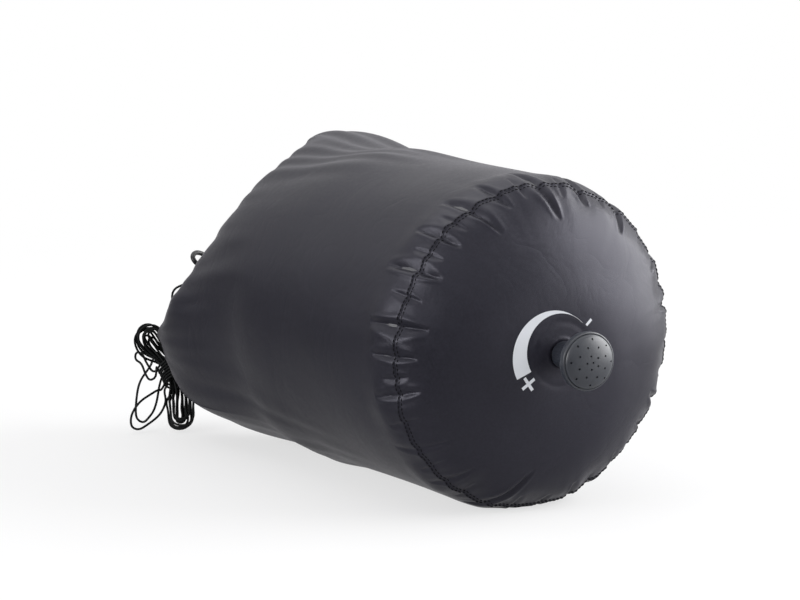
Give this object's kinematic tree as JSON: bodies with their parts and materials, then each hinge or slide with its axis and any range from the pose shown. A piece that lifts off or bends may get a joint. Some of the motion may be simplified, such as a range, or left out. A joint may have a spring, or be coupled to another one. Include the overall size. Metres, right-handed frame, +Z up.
{
  "type": "camp shower bag",
  "caption": "Roll-top camp shower bag, full and lying down: welded tube, domed base with twist-open shower rose, side-release buckle, ring and hanging cord.",
  "frame": {"origin": "on the floor under the middle of the bag's box, measured without the cord", "axes": "+Z up; +Y along the bag from its base and shower rose to its rolled mouth; +X to the right as seen from the base"},
  "size_m": [0.2159, 0.481, 0.2127],
  "materials": {
    "coated_nylon": "satin coated weave",
    "tape": "smooth welded tape",
    "webbing": "woven",
    "moulded_plastic": "satin moulded",
    "head_plastic": "satin moulded",
    "seal_rubber": "matt",
    "strip_plastic": "plain",
    "cord": "twisted cord"
  },
  "bodies": {
    "root": {"bag_body": "coated_nylon", "base_panel": "coated_nylon", "roll_top": "coated_nylon", "seam_tape": "tape", "side_tape": "tape", "stiffener": "strip_plastic", "webbing_tab_socket": "webbing", "webbing_tab_plug": "webbing", "ring_tab": "webbing", "buckle_socket": "moulded_plastic", "buckle_plug": "moulded_plastic", "outlet_body": "moulded_plastic", "flange_gasket": "seal_rubber", "neck_oring": "seal_rubber", "cord_lead": "cord", "cord_hank": "cord", "cord_tail": "cord"},
    "stopper": {"stopper": "moulded_plastic", "stopper_seal": "seal_rubber", "stopper_clip": "moulded_plastic"},
    "head": {"head_shell": "head_plastic", "rose_plate": "head_plastic"},
    "prong_upper": {"buckle_prong_upper": "moulded_plastic"},
    "prong_lower": {"buckle_prong_lower": "moulded_plastic"},
    "ring": {"d_ring": "moulded_plastic", "cord_ferrule": "moulded_plastic"}
  },
  "joints": [
    {"name": "stopper_lift", "type": "slide", "parent": "root", "child": "stopper", "axis": [0, -1, 0], "range_m": [0, 0.0035]},
    {"name": "head_turn", "type": "hinge", "parent": "stopper", "child": "head", "pos_m": [0.00004, -0.23, 0.105], "axis": [0, -1, 0], "range_deg": [0, 210]},
    {"name": "prong_upper_press", "type": "hinge", "parent": "root", "child": "prong_upper", "pos_m": [-0.02089, 0.21837, 0.12421], "axis": [0.0945, 0.9917, -0.0867], "range_deg": [0, 10], "stiffness_Nm_per_rad": 0.6},
    {"name": "prong_lower_press", "type": "hinge", "parent": "root", "child": "prong_lower", "pos_m": [-0.00993, 0.21645, 0.11415], "axis": [-0.0945, -0.9917, 0.0867], "range_deg": [0, 10], "stiffness_Nm_per_rad": 0.6},
    {"name": "ring_swing", "type": "hinge", "parent": "root", "child": "ring", "pos_m": [-0.03253, 0.22429, 0.10368], "axis": [-0.7307, 0.1283, 0.6705], "range_deg": [-40, 60], "deforming": ["cord_lead"]}
  ],
  "couplings": [
    {"joint": "head_turn", "follows": "stopper_lift", "rad_per_m": 1047.2}
  ]
}
